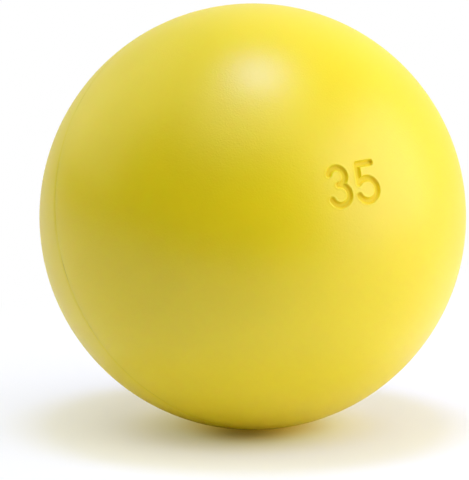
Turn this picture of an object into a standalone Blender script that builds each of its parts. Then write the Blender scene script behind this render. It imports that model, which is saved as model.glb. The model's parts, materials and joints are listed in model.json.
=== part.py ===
"""Table-football ball: a solid core inside two half covers that are bonded at a stepped lap joint.

Units are metres, +Z is up and the origin is the centre of the ball. Every piece is turned about the mould
axis, the line through the poles of the two half covers. The ball lies as it came to rest: its front pole
looks along -Y and is raised by REST_TILT.
"""

import math

import bmesh
import bpy

# Driving dimensions
BALL_DIAMETER = 0.035
COVER_WALL = 0.004
LAP_LENGTH = 0.0022
LAP_WALL = 0.0017
LIP_LEAD_IN = 0.0004
SEAM_CHAMFER = 0.00006
REST_TILT = math.radians(17.0)

# Clearances of the bonded joint and of the core in its cavity
BOND_LINE = 0.00005
CORE_CLEARANCE = 0.0003

# Facets
TURN_STEPS = 64
ARC_STEP = math.radians(5.7)
AXIS_MERGE = 0.00001

# Sizes that follow from the driving dimensions
BALL_RADIUS = BALL_DIAMETER / 2
CAVITY_RADIUS = BALL_RADIUS - COVER_WALL
CORE_RADIUS = CAVITY_RADIUS - CORE_CLEARANCE
SEAM_FACE = BOND_LINE / 2
SEAM_EDGE_RADIUS = BALL_RADIUS - SEAM_CHAMFER
LIP_RADIUS = CAVITY_RADIUS + LAP_WALL
REBATE_RADIUS = LIP_RADIUS + BOND_LINE
LIP_END = -SEAM_FACE - LAP_LENGTH
REBATE_FLOOR = LIP_END - BOND_LINE

# Colours (linear) and roughness of the two plastics
COVER_YELLOW = (0.85, 0.67, 0.01, 1.0)
CORE_NATURAL = (0.72, 0.69, 0.60, 1.0)
COVER_ROUGHNESS = 0.3
CORE_ROUGHNESS = 0.6


def clear_scene():
    """Removes everything that the file opened with."""
    for old in list(bpy.data.objects):
        bpy.data.objects.remove(old, do_unlink=True)


def make_collection(name):
    """Returns a new collection in the scene."""
    collection = bpy.data.collections.new(name)
    bpy.context.scene.collection.children.link(collection)
    return collection


def make_mould_axis(collection):
    """Returns the empty that carries every piece, with its Z along the mould axis, through the front pole."""
    mould_axis = bpy.data.objects.new("mould_axis", None)
    mould_axis.empty_display_size = BALL_RADIUS
    mould_axis.rotation_euler = (math.pi / 2 - REST_TILT, 0.0, 0.0)
    collection.objects.link(mould_axis)
    return mould_axis


def make_plastic(name, colour, roughness):
    """Returns a Principled BSDF material for a moulded plastic."""
    material = bpy.data.materials.new(name)
    material.use_nodes = True
    shader = material.node_tree.nodes["Principled BSDF"]
    shader.inputs["Base Color"].default_value = colour
    shader.inputs["Roughness"].default_value = roughness
    shader.inputs["Metallic"].default_value = 0.0
    return material


def arc(radius, start, end):
    """Returns points of a circle about the origin as (distance from the axis, height), both ends included.

    The angles are elevations above the seam plane.
    """
    count = max(2, round(abs(end - start) / ARC_STEP))
    points = []
    for index in range(count + 1):
        angle = start + (end - start) * index / count
        points.append((radius * math.cos(angle), radius * math.sin(angle)))
    return points


def elevation(radius, height):
    """Returns the elevation at which a circle about the origin has this height."""
    return math.asin(height / radius)


def front_cover_profile():
    """Outer dome down to the seam, then the lip that enters the rear half, then the cavity up to its pole.

    The lip is bored straight, so that the half goes over the core without an undercut.
    """
    edge = elevation(BALL_RADIUS, SEAM_FACE + SEAM_CHAMFER)
    profile = arc(BALL_RADIUS, math.pi / 2, edge)
    profile.append((SEAM_EDGE_RADIUS, SEAM_FACE))
    profile.append((LIP_RADIUS, SEAM_FACE))
    profile.append((LIP_RADIUS, LIP_END + LIP_LEAD_IN))
    profile.append((LIP_RADIUS - LIP_LEAD_IN, LIP_END))
    profile.append((CAVITY_RADIUS, LIP_END))
    profile.extend(arc(CAVITY_RADIUS, 0.0, math.pi / 2))
    return profile


def rear_cover_profile():
    """Cavity from its pole up to the rebate for the lip, then the seam face and the outer dome to its pole."""
    edge = elevation(BALL_RADIUS, -SEAM_FACE - SEAM_CHAMFER)
    profile = arc(CAVITY_RADIUS, -math.pi / 2, elevation(CAVITY_RADIUS, REBATE_FLOOR))
    profile.append((REBATE_RADIUS, REBATE_FLOOR))
    profile.append((REBATE_RADIUS, -SEAM_FACE))
    profile.append((SEAM_EDGE_RADIUS, -SEAM_FACE))
    profile.extend(arc(BALL_RADIUS, edge, -math.pi / 2))
    return profile


def core_profile():
    """Half circle from the front pole to the rear one."""
    return arc(CORE_RADIUS, math.pi / 2, -math.pi / 2)


def turned(name, profile, material, mould_axis, collection):
    """Turns a profile of (distance from the axis, height) points about the mould axis, as a named object."""
    outline = bmesh.new()
    vertices = [outline.verts.new((distance, 0.0, height)) for distance, height in profile]
    for vertex, following in zip(vertices, vertices[1:]):
        outline.edges.new((vertex, following))
    mesh = bpy.data.meshes.new(name)
    outline.to_mesh(mesh)
    outline.free()
    mesh.materials.append(material)

    piece = bpy.data.objects.new(name, mesh)
    piece.parent = mould_axis
    collection.objects.link(piece)
    screw = piece.modifiers.new("turn", "SCREW")
    screw.axis = "Z"
    screw.angle = math.tau
    screw.steps = TURN_STEPS
    screw.render_steps = TURN_STEPS
    screw.use_merge_vertices = True
    screw.merge_threshold = AXIS_MERGE
    screw.use_smooth_shade = True
    return piece


def main():
    """Builds the ball: two half covers and the core between them."""
    clear_scene()
    ball = make_collection("foosball_ball")
    mould_axis = make_mould_axis(ball)
    front_plastic = make_plastic("front_cover_plastic", COVER_YELLOW, COVER_ROUGHNESS)
    rear_plastic = make_plastic("rear_cover_plastic", COVER_YELLOW, COVER_ROUGHNESS)
    core_plastic = make_plastic("core_plastic", CORE_NATURAL, CORE_ROUGHNESS)
    turned("front_cover_half", front_cover_profile(), front_plastic, mould_axis, ball)
    turned("rear_cover_half", rear_cover_profile(), rear_plastic, mould_axis, ball)
    turned("core", core_profile(), core_plastic, mould_axis, ball)


main()
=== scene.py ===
"""Looks of a table-football ball: satin half covers bonded round a solid core, with a sunk number in front.

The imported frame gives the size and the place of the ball. On the bench each piece is modelled with the
mould axis, the line through the poles of the half covers, along +Z. It is then turned to the way the ball
lies. Lengths are in metres. Bearings, elevations and the angles of strokes are in degrees.
"""

import json
import logging
import math
from abc import ABC, abstractmethod
from collections.abc import Sequence
from dataclasses import dataclass
from enum import Enum
from typing import Any

import bmesh
import bpy
import numpy as np
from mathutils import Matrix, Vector


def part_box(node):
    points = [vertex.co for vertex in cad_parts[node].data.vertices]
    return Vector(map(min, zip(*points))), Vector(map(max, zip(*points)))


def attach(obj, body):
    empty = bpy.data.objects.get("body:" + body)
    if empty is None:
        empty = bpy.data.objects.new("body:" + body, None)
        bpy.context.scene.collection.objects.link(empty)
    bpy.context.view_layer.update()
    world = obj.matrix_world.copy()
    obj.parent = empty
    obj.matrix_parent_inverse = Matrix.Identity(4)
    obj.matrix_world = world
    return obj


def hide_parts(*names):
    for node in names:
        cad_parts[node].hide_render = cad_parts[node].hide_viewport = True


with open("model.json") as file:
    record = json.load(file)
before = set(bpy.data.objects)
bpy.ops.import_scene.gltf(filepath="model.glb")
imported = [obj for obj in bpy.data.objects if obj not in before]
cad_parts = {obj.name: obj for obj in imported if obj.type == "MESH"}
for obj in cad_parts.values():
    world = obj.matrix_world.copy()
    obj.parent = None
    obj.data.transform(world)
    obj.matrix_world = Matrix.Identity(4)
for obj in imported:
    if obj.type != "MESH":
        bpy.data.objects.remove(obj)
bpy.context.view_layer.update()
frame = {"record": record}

LOG = logging.getLogger("foosball_ball")

Rgb = tuple[float, float, float]
Colour = tuple[float, float, float, float]
Point = tuple[float, float]
Socket = bpy.types.NodeSocket

BODY = "root"
BALL_RADIUS = -frame["record"]["mounts"][0]["pos_m"][2]
CONTACT = Vector((0.0, 0.0, -BALL_RADIUS))
REST_TILT = math.radians(17.0)
MOULD_AXIS = Vector((0.0, -math.cos(REST_TILT), math.sin(REST_TILT)))
ORIGIN = Vector((0.0, 0.0, 0.0))

PHOTO_SIZE = (469, 480)
BALL_CENTRE_PIXEL = (252.7, 216.8)
BALL_RADIUS_PIXELS = 213.4

WHITE = (1.0, 1.0, 1.0, 1.0)
CUT_TOLERANCE = 1e-7

# Numbers of the Mix node's sockets for colours, whose names it also gives to other sockets
MIX_SHARE, MIX_FIRST, MIX_SECOND, MIX_RESULT = 0, 6, 7, 2


class Slot(Enum):
    """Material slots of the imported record."""

    COVER = "cover"
    CORE = "core"


class NodeSheet:
    """Adds and links the nodes of one material or world."""

    def __init__(self, tree: bpy.types.NodeTree) -> None:
        """Starts from an empty sheet.

        Args:
            tree: Node tree of the material or world.
        """
        self.tree = tree
        tree.nodes.clear()

    def add(self, kind: str, inputs: dict[str | int, Any] | None = None, **settings: Any) -> bpy.types.Node:
        """Adds a node.

        Args:
            kind: Blender's name of the node type.
            inputs: Values or sockets for the node's inputs, by their name or number.
            settings: Values for the node's own properties.

        Returns:
            The new node.
        """
        node = self.tree.nodes.new(kind)
        for name, value in settings.items():
            setattr(node, name, value)
        for socket, value in (inputs or {}).items():
            if isinstance(value, Socket):
                self.tree.links.new(value, node.inputs[socket])
            else:
                node.inputs[socket].default_value = value
        return node

    def math(self, operation: str, first: Any, second: Any = 0.0) -> Socket:
        """Adds a Math node and returns its value."""
        return self.add("ShaderNodeMath", {0: first, 1: second}, operation=operation).outputs[0]

    def measure(self, operation: str, first: Socket, second: Vector = ORIGIN) -> Socket:
        """Adds a Vector Math node that gives a number, such as a length, and returns that number."""
        return self.add("ShaderNodeVectorMath", {0: first, 1: second}, operation=operation).outputs["Value"]

    def blend(self, share: Any, first: Any, second: Any) -> Socket:
        """Adds a colour mix and returns the first colour at share 0, and the second at share 1."""
        inputs = {MIX_SHARE: share, MIX_FIRST: first, MIX_SECOND: second}
        return self.add("ShaderNodeMix", inputs, data_type="RGBA").outputs[MIX_RESULT]

    def fade(self, value: Any, limits: Point, results: Point = (0.0, 1.0)) -> Socket:
        """Adds a smooth step.

        Args:
            value: Socket that is compared with the limits.
            limits: Low and high limit.
            results: Result at and below the low limit, and at and above the high one.

        Returns:
            The socket of the result.
        """
        inputs = {
            "Value": value,
            "From Min": limits[0],
            "From Max": limits[1],
            "To Min": results[0],
            "To Max": results[1],
        }
        return self.add("ShaderNodeMapRange", inputs, interpolation_type="SMOOTHSTEP").outputs["Result"]

    def noise(self, place: Socket, size: float, detail: float = 2.0) -> Socket:
        """Adds a noise with lumps of this size and returns its value, from 0 to 1."""
        inputs = {"Vector": place, "Scale": 1.0 / size, "Detail": detail}
        return self.add("ShaderNodeTexNoise", inputs).outputs["Fac"]


def from_ball(bearing: float, elevation: float) -> Vector:
    """Finds the direction from the ball to a place in the studio.

    Args:
        bearing: Angle round the ball, 0 in front of it and 90 on its right.
        elevation: Angle above the horizon.

    Returns:
        A vector of length 1.
    """
    turn, rise = math.radians(bearing), math.radians(elevation)
    level = math.cos(rise)
    return Vector((math.sin(turn) * level, -math.cos(turn) * level, math.sin(rise)))


@dataclass(frozen=True)
class Finish(ABC):
    """Finish of a surface, made of nodes."""

    name: str

    @abstractmethod
    def surface(self, sheet: NodeSheet, place: Socket) -> Socket:
        """Adds the nodes of the finish.

        Args:
            sheet: Sheet that the nodes go on.
            place: Place on the object.

        Returns:
            The socket of the shader.
        """

    def material(self) -> bpy.types.Material:
        """Makes the finish.

        Returns:
            The new material.
        """
        made = bpy.data.materials.new(self.name)
        made.use_nodes = True
        sheet = NodeSheet(made.node_tree)
        place = sheet.add("ShaderNodeTexCoord").outputs["Object"]
        sheet.add("ShaderNodeOutputMaterial", {"Surface": self.surface(sheet, place)})
        return made


@dataclass(frozen=True)
class SatinPolyurethane(Finish):
    """Cast polyurethane of the cover: even yellow, a little translucent, with a fine moulded grain."""

    colour: Colour = (0.85, 0.670, 0.004, 1.0)
    deep_colour: Colour = (0.82, 0.645, 0.003, 1.0)
    soiled_colour: Colour = (0.55, 0.41, 0.010, 1.0)
    # Painted shade: a deeper yellow at the bottom of the strokes, standing for the shade and yellow bounce
    # inside them
    sunk_shade_colour: Colour = (0.86, 0.65, 0.001, 1.0)
    roughness: float = 0.38
    roughness_spread: float = 0.02
    dressed_roughness: float = 0.06
    dressed_limits: Point = (0.00015, 0.0005)
    sunk_roughness: float = 0.3
    sunk_limits: Point = (0.00005, 0.0002)
    sunk_most: float = 0.0006
    translucency: float = 0.4
    glow_depth: float = 0.0005
    glow_spread: Rgb = (1.0, 0.6, 0.1)
    cloud_size: float = 0.011
    cloud_limits: Point = (0.35, 0.65)
    grain_size: float = 0.00014
    grain_depth: float = 0.000014
    peel_size: float = 0.0014
    peel_depth: float = 0.000005
    pit_spacing: float = 0.0042
    pit_limits: Point = (0.000044, 0.00011)
    pit_share: float = 0.3
    pit_depth: float = 0.00003
    soil_line: Point = (0.00002, 0.00005)
    soil_size: float = 0.004
    soil_limits: Point = (0.45, 0.65)

    def surface(self, sheet: NodeSheet, place: Socket) -> Socket:
        """Adds the nodes of the finish.

        Args:
            sheet: Sheet that the nodes go on.
            place: Place on the object.

        Returns:
            The socket of the shader.
        """
        clouds = sheet.fade(sheet.noise(place, self.cloud_size), self.cloud_limits)
        pits = self._pits(sheet, place)
        sunk = self._sunk(sheet, place)
        from_seam = sheet.math("ABSOLUTE", sheet.measure("DOT_PRODUCT", place, MOULD_AXIS))
        soil = self._soil(sheet, place, pits, from_seam)
        shader = sheet.add("ShaderNodeBsdfPrincipled", {
            "Base Color": self._colour(sheet, clouds, soil, sunk),
            "Roughness": self._roughness(sheet, clouds, sunk, from_seam),
            "Normal": self._relief(sheet, place, pits),
            "Subsurface Weight": self.translucency,
            "Subsurface Radius": self.glow_spread,
            "Subsurface Scale": self.glow_depth,
        })
        return shader.outputs["BSDF"]

    def _pits(self, sheet: NodeSheet, place: Socket) -> Socket:
        """Finds the few pinholes that air leaves in a casting.

        Args:
            sheet: Sheet that the nodes go on.
            place: Place on the object.

        Returns:
            1 in a pinhole, and 0 elsewhere.
        """
        cells = sheet.add("ShaderNodeTexVoronoi", {"Vector": place, "Scale": 1.0 / self.pit_spacing})
        bottom, rim = (limit / self.pit_spacing for limit in self.pit_limits)
        hole = sheet.fade(cells.outputs["Distance"], (bottom, rim), (1.0, 0.0))
        draw = sheet.add("ShaderNodeSeparateColor", {"Color": cells.outputs["Color"]}).outputs["Red"]
        return sheet.math("MULTIPLY", hole, sheet.math("LESS_THAN", draw, self.pit_share))

    def _sunk(self, sheet: NodeSheet, place: Socket) -> Socket:
        """Finds what is pressed into the face.

        Args:
            sheet: Sheet that the nodes go on.
            place: Place on the object.

        Returns:
            1 at the bottom of a stroke, and 0 on the face and inside the cover.
        """
        depth = sheet.math("SUBTRACT", BALL_RADIUS, sheet.measure("LENGTH", place))
        pressed = sheet.fade(depth, self.sunk_limits)
        return sheet.math("MULTIPLY", pressed, sheet.math("LESS_THAN", depth, self.sunk_most))

    def _soil(self, sheet: NodeSheet, place: Socket, pits: Socket, from_seam: Socket) -> Socket:
        """Finds the dirt, which settles in the pinholes and here and there along the seam.

        Args:
            sheet: Sheet that the nodes go on.
            place: Place on the object.
            pits: 1 in the pinholes.
            from_seam: Distance from the seam plane.

        Returns:
            The share of dirt, from 0 to 1.
        """
        line = sheet.fade(from_seam, self.soil_line, (1.0, 0.0))
        here = sheet.fade(sheet.noise(place, self.soil_size), self.soil_limits)
        return sheet.math("MAXIMUM", pits, sheet.math("MULTIPLY", line, here))

    def _colour(self, sheet: NodeSheet, clouds: Socket, soil: Socket, sunk: Socket) -> Socket:
        """Mixes the yellow: faintly clouded, soiled in places, and with a painted shade of deeper yellow at
        the bottom of the strokes.

        Args:
            sheet: Sheet that the nodes go on.
            clouds: Share of the deep colour.
            soil: Share of dirt.
            sunk: 1 at the bottom of a stroke.

        Returns:
            The colour.
        """
        cloudy = sheet.blend(clouds, self.colour, self.deep_colour)
        soiled = sheet.blend(soil, cloudy, self.soiled_colour)
        # Painted shade: the bottom of each stroke gets the deeper yellow
        return sheet.blend(sunk, soiled, self.sunk_shade_colour)

    def _roughness(self, sheet: NodeSheet, clouds: Socket, sunk: Socket, from_seam: Socket) -> Socket:
        """Sets the roughness: uneven with the clouds, and duller where sunk and where the seam was dressed.

        Args:
            sheet: Sheet that the nodes go on.
            clouds: Share of the rougher face.
            sunk: 1 at the bottom of a stroke.
            from_seam: Distance from the seam plane.

        Returns:
            The roughness.
        """
        uneven = sheet.math("ADD", sheet.math("MULTIPLY", clouds, self.roughness_spread), self.roughness)
        dressed = sheet.fade(from_seam, self.dressed_limits, (self.dressed_roughness, 0.0))
        dull = sheet.math("MULTIPLY", sunk, self.sunk_roughness)
        return sheet.math("ADD", uneven, sheet.math("MAXIMUM", dressed, dull))

    def _relief(self, sheet: NodeSheet, place: Socket, pits: Socket) -> Socket:
        """Shapes the face with the grain, the soft waves of the casting and the pinholes.

        Args:
            sheet: Sheet that the nodes go on.
            place: Place on the object.
            pits: 1 in the pinholes.

        Returns:
            The surface normal.
        """
        fine = sheet.math("MULTIPLY", sheet.noise(place, self.grain_size), self.grain_depth)
        waves = sheet.math("MULTIPLY", sheet.noise(place, self.peel_size, detail=1.0), self.peel_depth)
        holes = sheet.math("MULTIPLY", pits, -self.pit_depth)
        height = sheet.math("ADD", sheet.math("ADD", waves, fine), holes)
        return sheet.add("ShaderNodeBump", {"Height": height, "Distance": 1.0}).outputs["Normal"]


@dataclass(frozen=True)
class KeyedPlastic(Finish):
    """Hard plastic of the core: natural off-white, matt, roughened so that the adhesive keys to it."""

    colour: Colour = (0.74, 0.70, 0.60, 1.0)
    deep_colour: Colour = (0.66, 0.61, 0.50, 1.0)
    roughness: float = 0.62
    cloud_size: float = 0.006
    key_size: float = 0.0005
    key_depth: float = 0.00002

    def surface(self, sheet: NodeSheet, place: Socket) -> Socket:
        """Adds the nodes of the finish.

        Args:
            sheet: Sheet that the nodes go on.
            place: Place on the object.

        Returns:
            The socket of the shader.
        """
        clouds = sheet.noise(place, self.cloud_size)
        keyed = sheet.math("MULTIPLY", sheet.noise(place, self.key_size), self.key_depth)
        shader = sheet.add("ShaderNodeBsdfPrincipled", {
            "Base Color": sheet.blend(clouds, self.colour, self.deep_colour),
            "Roughness": self.roughness,
            "Normal": sheet.add("ShaderNodeBump", {"Height": keyed, "Distance": 1.0}).outputs["Normal"],
        })
        return shader.outputs["BSDF"]


@dataclass(frozen=True)
class StudioPaper(Finish):
    """White paper: next to the ball it takes its shadow, with a painted white lift over it and a painted tint
    of the ball's bounced light, brown at its foot and yellow near it; further off it is white.
    """

    colour: Rgb = (0.90, 0.89, 0.86)
    # Painted light: tints of the paper that stand for the ball's yellow bounced light near it and the brown
    # shade at its foot
    painted_glow_tint: Colour = (1.0, 0.90, 0.12, 1.0)
    glow_reach: float = 0.0125
    painted_foot_shade_tint: Colour = (1.0, 0.58, 0.02, 1.0)
    foot_reach: float = 0.0072
    # Painted light: shares of white emission that lift the ball's shadow for the camera, least round its
    # darkest place
    painted_lift_at_darkest: float = 0.10
    dark_reach: float = 0.0052
    dark_bearing: float = -35.0
    dark_offset: float = 0.0035
    painted_lift_near: float = 0.28
    # The far white grows round a place to the ball's right, so the painted shadow lasts longer on that side
    shade_limits: Point = (0.032, 0.073)
    shade_bearing: float = 64.0
    shade_offset: float = 0.027

    def surface(self, sheet: NodeSheet, place: Socket) -> Socket:
        """Adds the nodes of the finish.

        Args:
            sheet: Sheet that the nodes go on.
            place: Place on the object.

        Returns:
            The socket of the shader.
        """
        tint = self._tint(sheet, place)
        paper = sheet.add("ShaderNodeVectorMath", {0: tint, 1: self.colour}, operation="MULTIPLY")
        lit = sheet.add("ShaderNodeBsdfDiffuse", {"Color": paper.outputs["Vector"]}).outputs["BSDF"]
        # Painted glow: the paper's white emission takes the same tint, so near the ball it shines yellow and
        # brown
        white = sheet.add("ShaderNodeEmission", {"Color": tint}).outputs["Emission"]
        share = self._share_of_white(sheet, place)
        return sheet.add("ShaderNodeMixShader", {0: share, 1: lit, 2: white}).outputs["Shader"]

    def _tint(self, sheet: NodeSheet, place: Socket) -> Socket:
        """Paints the ball's bounced light and the shade at its foot into the paper's colour: brown at its
        foot, yellow near it, then white.

        Args:
            sheet: Sheet that the nodes go on.
            place: Place on the paper.

        Returns:
            The tint.
        """
        away = sheet.measure("DISTANCE", place, CONTACT)
        # Painted light: yellow near the ball, brown at its foot
        painted_glow = sheet.blend(sheet.fade(away, (0.0, self.glow_reach)), self.painted_glow_tint, WHITE)
        return sheet.blend(sheet.fade(away, (0.0, self.foot_reach)), self.painted_foot_shade_tint, painted_glow)

    def _share_of_white(self, sheet: NodeSheet, place: Socket) -> Socket:
        """Sets how much of the paper is plain white to the camera, and further off to gloss and glass too.

        Near the ball a small share is a painted lift over the ball's shadow, least round its darkest place,
        and further off it grows to full white, more slowly on the ball's right. Rays that light the ball find
        none of it.

        Args:
            sheet: Sheet that the nodes go on.
            place: Place on the paper.

        Returns:
            The share of plain white, from 0 to 1.
        """
        path = sheet.add("ShaderNodeLightPath").outputs
        sharp = sheet.math("MAXIMUM", path["Is Glossy Ray"], path["Is Transmission Ray"])
        seen = sheet.math("MAXIMUM", path["Is Camera Ray"], sharp)
        darkest = CONTACT + from_ball(self.dark_bearing, 0.0) * self.dark_offset
        from_darkest = sheet.measure("DISTANCE", place, darkest)
        # Painted light: a white lift over the ball's shadow, for the camera only
        near = sheet.fade(from_darkest, (0.0, self.dark_reach), (self.painted_lift_at_darkest, self.painted_lift_near))
        shaded = CONTACT + from_ball(self.shade_bearing, 0.0) * self.shade_offset
        from_shaded = sheet.measure("DISTANCE", place, shaded)
        far = sheet.fade(from_shaded, self.shade_limits, (0.0, 1.0 - self.painted_lift_near))
        return sheet.math(
            "ADD",
            sheet.math("MULTIPLY", path["Is Camera Ray"], near),
            sheet.math("MULTIPLY", seen, far),
        )


@dataclass(frozen=True)
class Line:
    """Straight stroke of a figure."""

    start: Point
    end: Point

    def distance(self, points: np.ndarray) -> np.ndarray:
        """Measures the distance of each point from the stroke's middle line.

        Args:
            points: Places as an array of two columns.

        Returns:
            One distance for each row.
        """
        start = np.array(self.start)
        along = np.array(self.end) - start
        share = np.clip((points - start) @ along / (along @ along), 0.0, 1.0)
        return np.linalg.norm(points - start - share[:, None] * along, axis=1)


@dataclass(frozen=True)
class Bowl:
    """Round stroke of a figure, from a start angle clockwise over a sweep."""

    centre: Point
    radius: float
    start: float
    sweep: float

    def at(self, angle: float) -> Point:
        """Finds a point of the stroke.

        Args:
            angle: Angle of the point, 0 on the right and 90 at the top.

        Returns:
            The point.
        """
        across, up = self.centre
        turn = math.radians(angle)
        return (across + self.radius * math.cos(turn), up + self.radius * math.sin(turn))

    def distance(self, points: np.ndarray) -> np.ndarray:
        """Measures the distance of each point from the stroke's middle line.

        Args:
            points: Places as an array of two columns.

        Returns:
            One distance for each row.
        """
        offset = points - np.array(self.centre)
        turned = (self.start - np.degrees(np.arctan2(offset[:, 1], offset[:, 0]))) % 360.0
        on_arc = np.abs(np.linalg.norm(offset, axis=1) - self.radius)
        ends = (self.at(self.start), self.at(self.start - self.sweep))
        to_ends = [np.linalg.norm(points - np.array(end), axis=1) for end in ends]
        return np.where(turned <= self.sweep, on_arc, np.minimum(*to_ends))


Stroke = Line | Bowl


def eased(shares: np.ndarray) -> np.ndarray:
    """Returns shares kept between 0 and 1, with a smooth start and end."""
    kept = np.clip(shares, 0.0, 1.0)
    return kept * kept * (3.0 - 2.0 * kept)


@dataclass(frozen=True)
class SunkNumber:
    """Plain size number sunk in the cover at the front pole, by strokes with soft walls and a flat bottom.

    The sizes of the bowls, of the stem and of the flag are shares: of the height for a bowl's radius, and of
    that radius for how far the stem and the flag stand out. An arc is a start angle and a sweep.
    """

    height: float = 0.0030
    spacing: float = 0.0025
    stroke_width: float = 0.00060
    bottom_width: float = 0.00022
    depth: float = 0.00023
    lip_height: float = 0.000018
    lip_width: float = 0.00014
    offset: Point = (0.0005, 0.0)
    turn: float = math.radians(4.5)
    three_upper: float = 0.23
    three_upper_arc: Point = (160.0, 250.0)
    three_lower_arc: Point = (90.0, 250.0)
    five_bowl: float = 0.30
    five_arc: Point = (140.0, 295.0)
    five_stem: float = 0.62
    five_flag: float = 0.80

    def reach(self) -> float:
        """Returns how far the strokes reach from the middle of the number."""
        return self.spacing / 2 + self.height / 2

    def strokes(self) -> list[Stroke]:
        """Returns the strokes of both figures about the middle of the number."""
        return [*self._three(-self.spacing / 2), *self._five(self.spacing / 2)]

    def _three(self, middle: float) -> list[Stroke]:
        """Draws a three: a smaller bowl on a larger one.

        Args:
            middle: Place of the figure's middle along the number.

        Returns:
            The strokes.
        """
        top = self.height / 2
        upper = self.three_upper * self.height
        lower = top - upper
        return [
            Bowl((middle, top - upper), upper, *self.three_upper_arc),
            Bowl((middle, lower - top), lower, *self.three_lower_arc),
        ]

    def _five(self, middle: float) -> list[Stroke]:
        """Draws a five: a bowl, the stem that stands on its start, and the flag.

        Args:
            middle: Place of the figure's middle along the number.

        Returns:
            The strokes.
        """
        top = self.height / 2
        radius = self.five_bowl * self.height
        bowl = Bowl((middle, radius - top), radius, *self.five_arc)
        corner = (middle - self.five_stem * radius, top)
        flag_end = (middle + self.five_flag * radius, top)
        return [bowl, Line(bowl.at(bowl.start), corner), Line(corner, flag_end)]

    def distance(self, places: np.ndarray) -> np.ndarray:
        """Measures the distance of each place from the nearest stroke's middle line.

        Args:
            places: Places on the front of the ball as rows of right and up, seen from the front.

        Returns:
            One distance for each row.
        """
        cos, sin = math.cos(self.turn), math.sin(self.turn)
        own = (places - np.array(self.offset)) @ np.array([[cos, -sin], [sin, cos]])
        return np.min([stroke.distance(own) for stroke in self.strokes()], axis=0)

    def sunk_share(self, distances: np.ndarray) -> np.ndarray:
        """Returns how far places are sunk, from 0 on the ball's face to 1 on a stroke's flat bottom."""
        wall = (self.stroke_width - self.bottom_width) / 2
        return eased((self.stroke_width / 2 - distances) / wall)

    def lip_share(self, distances: np.ndarray) -> np.ndarray:
        """Returns how far places are raised, from 0 on the ball's face to 1 on the crest of a lip."""
        crest = self.stroke_width / 2
        return np.clip(1.0 - np.abs(distances - crest) / self.lip_width, 0.0, 1.0)


def add_quad_ball(name: str, radius: float, cells: int) -> bpy.types.Object:
    """Adds a cube, divides its sides and rounds it to a ball of even quads about the origin.

    Args:
        name: Name of the new object.
        radius: Radius of the ball.
        cells: Number of quads along each edge of the cube.

    Returns:
        The ball, in object mode.
    """
    bpy.ops.object.select_all(action="DESELECT")
    bpy.ops.mesh.primitive_cube_add(size=radius)
    ball = bpy.context.object
    ball.name = name
    bpy.ops.object.mode_set(mode="EDIT")
    bpy.ops.mesh.select_all(action="SELECT")
    bpy.ops.mesh.subdivide(number_cuts=cells - 1)
    bpy.ops.transform.tosphere(value=1.0)
    bpy.ops.object.mode_set(mode="OBJECT")
    round_to_radius(ball, radius)
    return ball


def round_to_radius(piece: bpy.types.Object, radius: float, group: str = "") -> None:
    """Moves points straight out or in to a sphere about the origin.

    Args:
        piece: Object whose points are moved.
        radius: Radius of the sphere.
        group: Name of the vertex group that is moved, or nothing for every point.
    """
    cast = piece.modifiers.new("round", "CAST")
    cast.cast_type = "SPHERE"
    cast.factor = 1.0
    cast.radius = 0.0
    cast.use_radius_as_size = False
    cast.size = radius
    cast.vertex_group = group
    apply_modifier(piece, cast)


def add_weights(piece: bpy.types.Object, name: str, points: np.ndarray, weights: np.ndarray) -> str:
    """Adds a vertex group.

    Args:
        piece: Object that gets the group.
        name: Name of the group.
        points: Numbers of the points.
        weights: Weight of each of them, from 0 to 1. Points of weight 0 stay out of the group.

    Returns:
        The group's name.
    """
    group = piece.vertex_groups.new(name=name)
    for point, weight in zip(points.tolist(), weights.tolist()):
        if weight > 0.0:
            group.add([point], weight, "REPLACE")
    return group.name


def press_along_normals(piece: bpy.types.Object, group: str, distance: float) -> None:
    """Moves the points of a group along their normals, in proportion to their weight.

    Args:
        piece: Object whose points are moved.
        group: Name of the vertex group.
        distance: Distance outwards at weight 1.
    """
    press = piece.modifiers.new("press", "DISPLACE")
    press.direction = "NORMAL"
    press.mid_level = 0.0
    press.strength = distance
    press.vertex_group = group
    apply_modifier(piece, press)


def apply_modifier(piece: bpy.types.Object, modifier: bpy.types.Modifier) -> None:
    """Applies one modifier of a piece."""
    bpy.context.view_layer.objects.active = piece
    bpy.ops.object.modifier_apply(modifier=modifier.name)


def select_open_edges() -> None:
    """Selects the edges that have a face on one side only, of the mesh that is being edited."""
    bpy.ops.mesh.select_mode(type="EDGE")
    bpy.ops.mesh.select_all(action="DESELECT")
    bpy.ops.mesh.select_non_manifold(
        extend=False,
        use_wire=False,
        use_boundary=True,
        use_multi_face=False,
        use_non_contiguous=False,
        use_verts=False,
    )


def extrude_up(distance: float) -> None:
    """Extrudes what is selected along the mould axis."""
    bpy.ops.mesh.extrude_region_move(TRANSFORM_OT_translate={"value": (0.0, 0.0, distance)})


def draw_rings(rings: Sequence[Point]) -> None:
    """Extrudes the selected ring of edges from each place to the next.

    Args:
        rings: Distance from the axis and height of each ring. The selected ring lies at the first of them.
    """
    for (distance, height), (next_distance, next_height) in zip(rings, rings[1:]):
        share = next_distance / distance
        extrude_up(next_height - height)
        bpy.ops.transform.resize(value=(share, share, 1.0), center_override=(0.0, 0.0, next_height))


@dataclass(frozen=True)
class LapJoint:
    """Stepped lap that holds the half covers together at the seam plane."""

    length: float = 0.0022
    wall: float = 0.0017
    lead_in: float = 0.0004
    bond_line: float = 0.00005
    open_line: float = 0.000004
    edge_round: float = 0.00001

    @property
    def seam_face(self) -> float:
        """Distance of each half's seam face from the seam plane."""
        return self.open_line / 2

    @property
    def lip_reach(self) -> float:
        """Distance of the lip's end from the seam plane."""
        return self.bond_line / 2 + self.length


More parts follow.
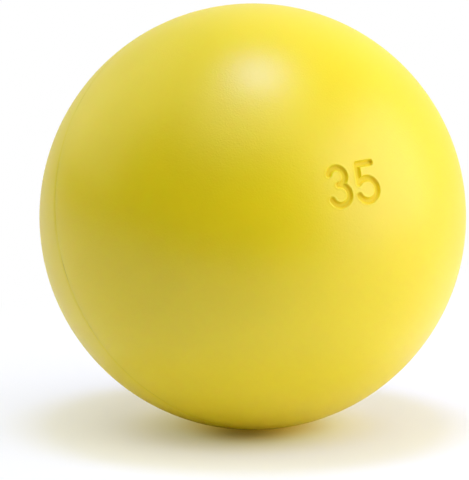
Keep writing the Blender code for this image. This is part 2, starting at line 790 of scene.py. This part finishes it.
@dataclass
class CoverHalf(ABC):
    """Half cover: an outer dome, the edge at the parting line, its side of the lap joint, and the cavity."""

    name: str
    finish: SatinPolyurethane
    joint: LapJoint = LapJoint()
    radius: float = BALL_RADIUS
    wall: float = 0.004
    cells: int = 64
    round_steps: int = 4
    cavity_steps: int = 14
    sharp_angle: float = math.radians(30.0)

    @property
    def cavity_radius(self) -> float:
        """Radius of the cavity that holds the core."""
        return self.radius - self.wall

    @property
    def mid_wall_radius(self) -> float:
        """Radius halfway between the cavity and the outer dome."""
        return self.radius - self.wall / 2

    @abstractmethod
    def joint_rings(self) -> list[Point]:
        """Returns the rings from the inner end of the seam face to the last one before the cavity's pole."""

    @abstractmethod
    def bench_turn(self) -> float:
        """Returns the angle about X that takes the half from the bench to the way the ball lies."""

    def build(self) -> bpy.types.Object:
        """Models the half cover.

        Returns:
            The finished piece, in place and riding on the ball's body.
        """
        piece = add_quad_ball(self.name, self.radius, self.cells)
        self._cut_dome()
        self._draw_joint_and_cavity()
        bpy.ops.object.shade_smooth_by_angle(angle=self.sharp_angle)
        self.detail(piece)
        piece.rotation_euler = (self.bench_turn(), 0.0, 0.0)
        bpy.ops.object.transform_apply(location=True, rotation=True, scale=True)
        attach(piece, BODY)
        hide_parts(self.name.removesuffix("_skin"))
        return piece

    def dress(self, piece: bpy.types.Object) -> None:
        """Gives the piece its finish.

        Args:
            piece: The built half cover.
        """
        piece.data.materials.clear()
        piece.data.materials.append(self.finish.material())

    def detail(self, piece: bpy.types.Object) -> None:
        """Adds what this half alone has. A plain half adds nothing."""

    def seam_edge(self) -> list[Point]:
        """Rounds the edge between the dome and the seam face.

        Returns:
            The rings from the dome down to the seam face.
        """
        small = self.joint.edge_round
        distance, height = self.radius - small, self.joint.seam_face + small
        angles = [math.pi / 2 * step / self.round_steps for step in range(self.round_steps + 1)]
        return [(distance + small * math.cos(angle), height - small * math.sin(angle)) for angle in angles]

    def cavity_rings(self, start: float) -> list[Point]:
        """Divides the cavity's wall.

        Args:
            start: Elevation of the first ring above the seam plane, in radians.

        Returns:
            The rings from there up to the last one before the pole.
        """
        radius = self.cavity_radius
        step = (math.pi / 2 - start) / self.cavity_steps
        angles = [start + step * index for index in range(self.cavity_steps)]
        return [(radius * math.cos(angle), radius * math.sin(angle)) for angle in angles]

    def _cut_dome(self) -> None:
        """Cuts the ball off just above the seam plane, where the rounded edge starts."""
        _, height = self.seam_edge()[0]
        bpy.ops.object.mode_set(mode="EDIT")
        bpy.ops.mesh.select_all(action="SELECT")
        bpy.ops.mesh.bisect(
            plane_co=(0.0, 0.0, height),
            plane_no=(0.0, 0.0, 1.0),
            clear_inner=True,
            threshold=CUT_TOLERANCE,
        )

    def _draw_joint_and_cavity(self) -> None:
        """Draws the open edge of the dome round the joint and up the cavity, and closes it at the pole."""
        rings = [*self.seam_edge(), *self.joint_rings()]
        _, last_height = rings[-1]
        select_open_edges()
        draw_rings(rings)
        extrude_up(self.cavity_radius - last_height)
        bpy.ops.mesh.merge(type="CENTER")
        bpy.ops.mesh.select_all(action="SELECT")
        bpy.ops.mesh.normals_make_consistent(inside=False)
        bpy.ops.object.mode_set(mode="OBJECT")


@dataclass
class FrontCover(CoverHalf):
    """Front half cover: its lip enters the rear half, and its pole carries the sunk number."""

    number: SunkNumber = SunkNumber()
    number_margin: float = 0.0006
    number_cuts: int = 14

    def bench_turn(self) -> float:
        """Returns the angle about X that points the dome's pole to the front."""
        return math.pi / 2 - REST_TILT

    def joint_rings(self) -> list[Point]:
        """Draws the lip, bored straight so that it goes over the core, and the cavity.

        Returns:
            The rings from the inner end of the seam face to the last one before the cavity's pole.
        """
        lip = self.cavity_radius + self.joint.wall
        end = -self.joint.lip_reach
        return [
            (lip, self.joint.seam_face),
            (lip, end + self.joint.lead_in),
            (lip - self.joint.lead_in, end),
            (self.cavity_radius, end),
            *self.cavity_rings(0.0),
        ]

    def detail(self, piece: bpy.types.Object) -> None:
        """Refines the face round the front pole and presses the number into it, which throws up a small lip.

        Args:
            piece: The half cover on the bench.
        """
        self._refine_number_place()
        places = np.array([vertex.co for vertex in piece.data.vertices])
        across, up = self.number.offset
        on_dome = np.linalg.norm(places, axis=1) > self.mid_wall_radius
        near = np.hypot(places[:, 0] - across, places[:, 1] - up) < 2 * self._number_reach()
        outer = np.flatnonzero(on_dome & near & (places[:, 2] > 0.0))
        from_stroke = self.number.distance(places[outer, :2])
        round_to_radius(piece, self.radius, add_weights(piece, "number_place", outer, np.ones(len(outer))))
        raised = add_weights(piece, "raised", outer, self.number.lip_share(from_stroke))
        press_along_normals(piece, raised, self.number.lip_height)
        sunk = add_weights(piece, "sunk", outer, self.number.sunk_share(from_stroke))
        press_along_normals(piece, sunk, -self.number.depth)
        piece.vertex_groups.clear()

    def _number_reach(self) -> float:
        """Returns the half width of the refined place."""
        return self.number.reach() + self.number_margin

    def _refine_number_place(self) -> None:
        """Divides the quads of the dome round the number, fine enough for the walls of its strokes."""
        across, up = self.number.offset
        half_height = self.number.height / 2 + self.number_margin
        bpy.ops.object.mode_set(mode="EDIT")
        bpy.ops.mesh.select_mode(type="FACE")
        bpy.ops.mesh.select_all(action="DESELECT")
        edited = bmesh.from_edit_mesh(bpy.context.object.data)
        for face in edited.faces:
            middle = face.calc_center_median()
            beside = abs(middle.x - across) < self._number_reach()
            level = abs(middle.y - up) < half_height
            face.select_set(beside and level and middle.z > self.mid_wall_radius)
        edited.select_flush_mode()
        bpy.ops.mesh.subdivide(number_cuts=self.number_cuts, ngon=False)
        bpy.ops.object.mode_set(mode="OBJECT")


@dataclass
class RearCover(CoverHalf):
    """Rear half cover: its rebate takes the lip of the front half."""

    def bench_turn(self) -> float:
        """Returns the angle about X that points the dome's pole to the back."""
        return -math.pi / 2 - REST_TILT

    def joint_rings(self) -> list[Point]:
        """Draws the rebate, a bond line wider and deeper than the lip, and the cavity.

        Returns:
            The rings from the inner end of the seam face to the last one before the cavity's pole.
        """
        rebate = self.cavity_radius + self.joint.wall + self.joint.bond_line
        floor = self.joint.lip_reach + self.joint.bond_line
        return [
            (rebate, self.joint.seam_face),
            (rebate, floor),
            *self.cavity_rings(math.asin(floor / self.cavity_radius)),
        ]


@dataclass
class Core:
    """Solid core inside the half covers."""

    name: str
    finish: KeyedPlastic
    cells: int = 32

    def build(self) -> bpy.types.Object:
        """Models the core at the size of its node.

        Returns:
            The finished piece, riding on the ball's body.
        """
        low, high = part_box("core")
        piece = add_quad_ball(self.name, (high.x - low.x) / 2, self.cells)
        bpy.ops.object.shade_smooth()
        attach(piece, BODY)
        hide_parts("core")
        return piece

    def dress(self, piece: bpy.types.Object) -> None:
        """Gives the piece its finish.

        Args:
            piece: The built core.
        """
        piece.data.materials.clear()
        piece.data.materials.append(self.finish.material())


@dataclass(frozen=True)
class SoftBox:
    """Rectangular soft lamp that faces the ball."""

    name: str
    bearing: float
    elevation: float
    distance: float
    width: float
    height: float
    radiance: float
    colour: Rgb

    def build(self) -> bpy.types.Object:
        """Adds the lamp.

        Returns:
            The lamp, which the camera does not see.
        """
        towards = from_ball(self.bearing, self.elevation)
        bpy.ops.object.light_add(type="AREA", location=towards * self.distance)
        lamp = bpy.context.object
        lamp.name = self.name
        lamp.rotation_euler = (-towards).to_track_quat("-Z", "Y").to_euler()
        lamp.data.shape = "RECTANGLE"
        lamp.data.size = self.width
        lamp.data.size_y = self.height
        lamp.data.energy = self.radiance * math.pi * self.width * self.height
        lamp.data.color = self.colour
        lamp.visible_camera = False
        return lamp


@dataclass
class Studio:
    """White paper, soft lamps, plain surroundings and the camera."""

    paper: StudioPaper = StudioPaper("studio_paper")
    paper_width: float = 1.0
    paper_length: float = 0.8
    paper_in_front: float = 0.08
    backdrop_bearing: float = 138.0
    backdrop_elevation: float = 0.0
    backdrop_spread: Point = (80.0, 40.0)
    backdrop_light: float = 0.8
    bearing: float = -26.0
    elevation: float = 10.0
    lens: float = 300.0
    sensor: float = 36.0
    clip_ratio: float = 10.0
    lamps: tuple[SoftBox, ...] = (
        SoftBox(
            "top_box", bearing=64.0, elevation=88.0, distance=0.45,
            width=0.12, height=0.12, radiance=25.0, colour=(0.31, 0.42, 1.0),
        ),
        SoftBox(
            "ceiling_box", bearing=-26.0, elevation=67.5, distance=0.48,
            width=0.46, height=0.36, radiance=2.35, colour=(1.0, 1.0, 0.75),
        ),
        SoftBox(
            "right_box", bearing=51.0, elevation=18.0, distance=0.45,
            width=0.54, height=0.48, radiance=3.55, colour=(0.8, 0.8, 1.0),
        ),
        SoftBox(
            "left_box", bearing=-138.0, elevation=36.0, distance=0.45,
            width=0.42, height=0.42, radiance=1.42, colour=(1.0, 1.0, 0.75),
        ),
    )

    def build(self) -> None:
        """Sets up the studio round the ball."""
        self._add_paper()
        self._set_surroundings()
        for lamp in self.lamps:
            LOG.info("lamp %s", lamp.build().name)
        self._add_camera()

    def _add_paper(self) -> None:
        """Lays the paper under the ball, from a little in front of it to far behind it."""
        bpy.ops.object.select_all(action="DESELECT")
        behind = from_ball(self.bearing + 180.0, 0.0) * (self.paper_length / 2 - self.paper_in_front)
        bpy.ops.mesh.primitive_plane_add(
            size=1.0,
            location=behind + CONTACT,
            rotation=(0.0, 0.0, math.radians(self.bearing)),
        )
        paper = bpy.context.object
        paper.name = "studio_paper"
        paper.scale = (self.paper_width, self.paper_length, 1.0)
        bpy.ops.object.transform_apply(location=True, rotation=True, scale=True)
        paper.data.materials.append(self.paper.material())

    def _set_surroundings(self) -> None:
        """Puts a pale backdrop behind the ball for every ray, in a room that is white to the camera."""
        world = bpy.data.worlds.new("studio")
        world.use_nodes = True
        bpy.context.scene.world = world
        sheet = NodeSheet(world.node_tree)
        ray = sheet.add("ShaderNodeTexCoord").outputs["Generated"]
        middle = from_ball(self.backdrop_bearing, self.backdrop_elevation)
        facing = sheet.measure("DOT_PRODUCT", ray, middle)
        edge, full = (math.cos(math.radians(angle)) for angle in self.backdrop_spread)
        backdrop = sheet.fade(facing, (edge, full), (0.0, self.backdrop_light))
        to_camera = sheet.add("ShaderNodeLightPath").outputs["Is Camera Ray"]
        strength = sheet.math("MAXIMUM", backdrop, to_camera)
        background = sheet.add("ShaderNodeBackground", {"Color": WHITE, "Strength": strength})
        sheet.add("ShaderNodeOutputWorld", {"Surface": background.outputs["Background"]})

    def _add_camera(self) -> None:
        """Adds the camera, with the ball where it lies in the photograph."""
        pixels_per_slope = self.lens / self.sensor * max(PHOTO_SIZE)
        distance = BALL_RADIUS * math.hypot(1.0, pixels_per_slope / BALL_RADIUS_PIXELS)
        pixel = distance / pixels_per_slope
        towards = from_ball(self.bearing, self.elevation)
        turn = (-towards).to_track_quat("-Z", "Y")
        across = PHOTO_SIZE[0] / 2 - BALL_CENTRE_PIXEL[0]
        up = BALL_CENTRE_PIXEL[1] - PHOTO_SIZE[1] / 2
        aside = turn @ Vector((across * pixel, up * pixel, 0.0))
        bpy.ops.object.camera_add(location=towards * distance + aside)
        camera = bpy.context.object
        camera.rotation_euler = turn.to_euler()
        camera.data.lens = self.lens
        camera.data.sensor_width = self.sensor
        camera.data.clip_start = distance / self.clip_ratio
        camera.data.clip_end = distance * self.clip_ratio
        bpy.context.scene.camera = camera


def main() -> None:
    """Builds and dresses every piece, then the studio."""
    logging.basicConfig(level=logging.INFO, format="%(name)s: %(message)s")
    pieces = (
        Core("core_skin", KeyedPlastic("keyed_plastic")),
        RearCover("rear_cover_half_skin", SatinPolyurethane("rear_satin_yellow")),
        FrontCover("front_cover_half_skin", SatinPolyurethane("front_satin_yellow")),
    )
    for piece in pieces:
        made = piece.build()
        piece.dress(made)
        LOG.info("%s with %d faces", made.name, len(made.data.polygons))
    Studio().build()
    bpy.context.scene.view_settings.view_transform = "Standard"


if __name__ == "__main__":
    main()
